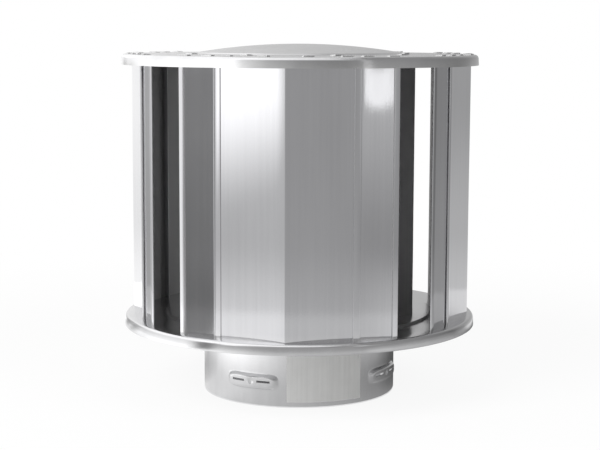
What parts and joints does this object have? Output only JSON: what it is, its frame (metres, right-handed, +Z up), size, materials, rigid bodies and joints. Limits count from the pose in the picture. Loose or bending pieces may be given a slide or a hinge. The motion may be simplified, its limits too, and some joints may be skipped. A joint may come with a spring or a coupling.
{
  "type": "high-wind gas vent cap",
  "caption": "Louvered sheet-steel cap for a double-wall gas vent: bent wind shields and vanes between two round plates, over a collar that locks on the pipe.",
  "frame": {"origin": "centre of the outer collar's lower edge, on which the cap stands", "axes": "+Z up along the flue's axis; -Y is the side that faces the viewer in the picture; +X is that viewer's right"},
  "size_m": [0.2134, 0.2134, 0.2088],
  "materials": {
    "plate_steel": "galvanised sheet, satin",
    "louver_steel": "galvanised sheet, satin",
    "baffle_steel": "galvanised sheet, dull",
    "collar_steel": "galvanised sheet, satin",
    "flue_aluminium": "mill aluminium sheet",
    "rivet_steel": "plated steel"
  },
  "bodies": {
    "root": {"top_plate": "plate_steel", "base_plate": "plate_steel", "outer_collar": "collar_steel", "flue_collar": "flue_aluminium", "collar_rivets": "rivet_steel", "shield_a": "louver_steel", "vane_right_a": "louver_steel", "vane_left_a": "louver_steel", "baffle_a": "baffle_steel", "shield_b": "louver_steel", "vane_right_b": "louver_steel", "vane_left_b": "louver_steel", "baffle_b": "baffle_steel", "shield_c": "louver_steel", "vane_right_c": "louver_steel", "vane_left_c": "louver_steel", "baffle_c": "baffle_steel", "shield_d": "louver_steel", "vane_right_d": "louver_steel", "vane_left_d": "louver_steel", "baffle_d": "baffle_steel"}
  },
  "joints": []
}
